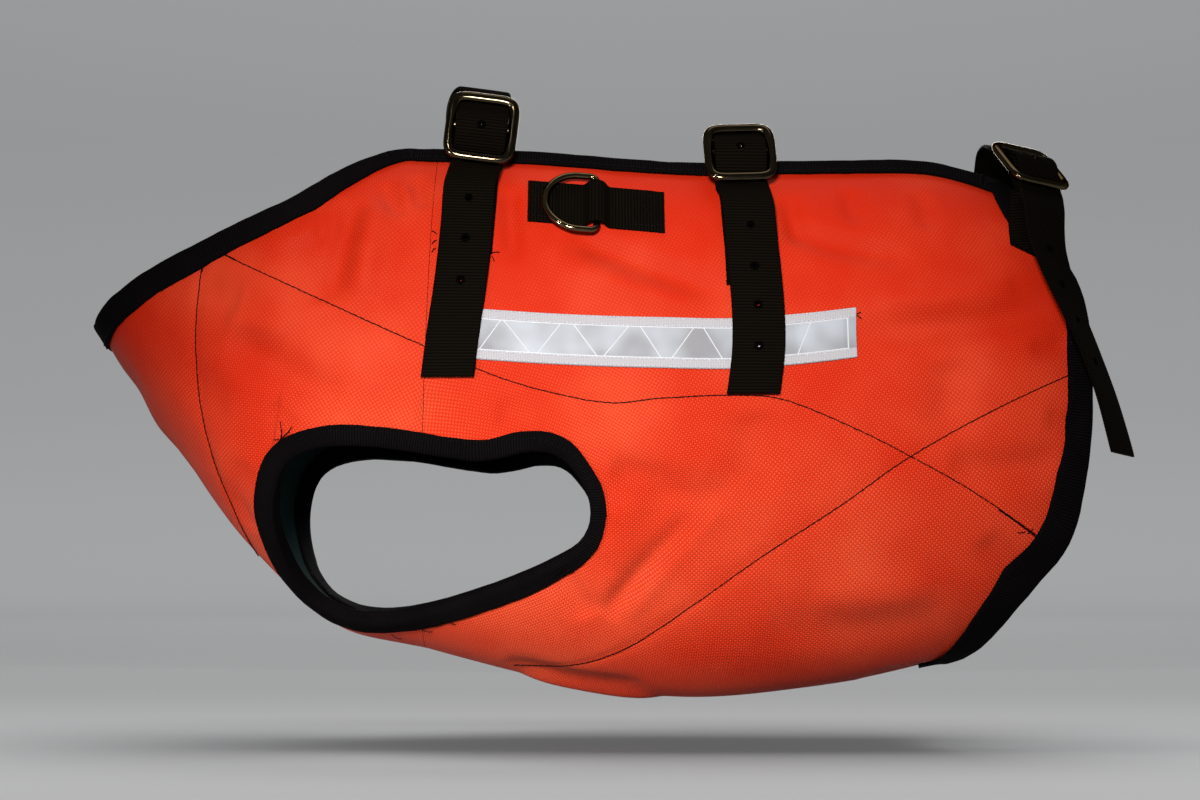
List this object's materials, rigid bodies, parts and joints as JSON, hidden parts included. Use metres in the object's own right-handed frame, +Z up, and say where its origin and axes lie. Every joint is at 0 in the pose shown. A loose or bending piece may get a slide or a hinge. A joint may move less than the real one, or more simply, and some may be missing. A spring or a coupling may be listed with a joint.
{
  "type": "armored dog vest",
  "caption": "Quilted ballistic-cloth dog vest, orange red with black tape, three buckled webbing straps over the back, a D-ring and a reflective strip",
  "frame": {"origin": "where the wearer's back meets the underside of the middle strap, over the withers, on the middle plane", "axes": "+X runs along the back to the tail, -Y is the wearer's left side, +Z is up off the back"},
  "size_m": [0.5078, 0.1812, 0.3025],
  "materials": {
    "shell_cloth": "coarse plain-weave nylon, slight sheen",
    "lining_cloth": "dark close-woven nylon, dull",
    "binding_tape": "black ribbed tape, dull",
    "webbing": "black ribbed nylon webbing",
    "reflective_tape": "silver white retroreflective tape, embossed",
    "polished_metal": "polished nickel, smoky",
    "ring_metal": "polished nickel, warm"
  },
  "bodies": {
    "vest": {"front_panel": "shell_cloth", "body_panel": "shell_cloth", "front_lining": "lining_cloth", "body_lining": "lining_cloth", "edge_binding": "binding_tape", "left_armhole_binding": "binding_tape", "right_armhole_binding": "binding_tape", "reflective_strip": "reflective_tape", "ring_webbing": "webbing", "front_base_strap": "webbing", "front_long_strap": "webbing", "front_buckle_frame": "polished_metal", "front_prong": "polished_metal", "middle_base_strap": "webbing", "middle_long_strap": "webbing", "middle_buckle_frame": "polished_metal", "middle_prong": "polished_metal", "rear_base_strap": "webbing", "rear_long_strap": "webbing", "rear_buckle_frame": "polished_metal", "rear_prong": "polished_metal"},
    "ring": {"d_ring": "ring_metal"}
  },
  "joints": [
    {"name": "ring_swing", "type": "hinge", "parent": "vest", "child": "ring", "pos_m": [-0.07243, -0.06982, -0.04644], "axis": [-0.0023, 0.5065, 0.8622], "range_deg": [0, 165]}
  ]
}
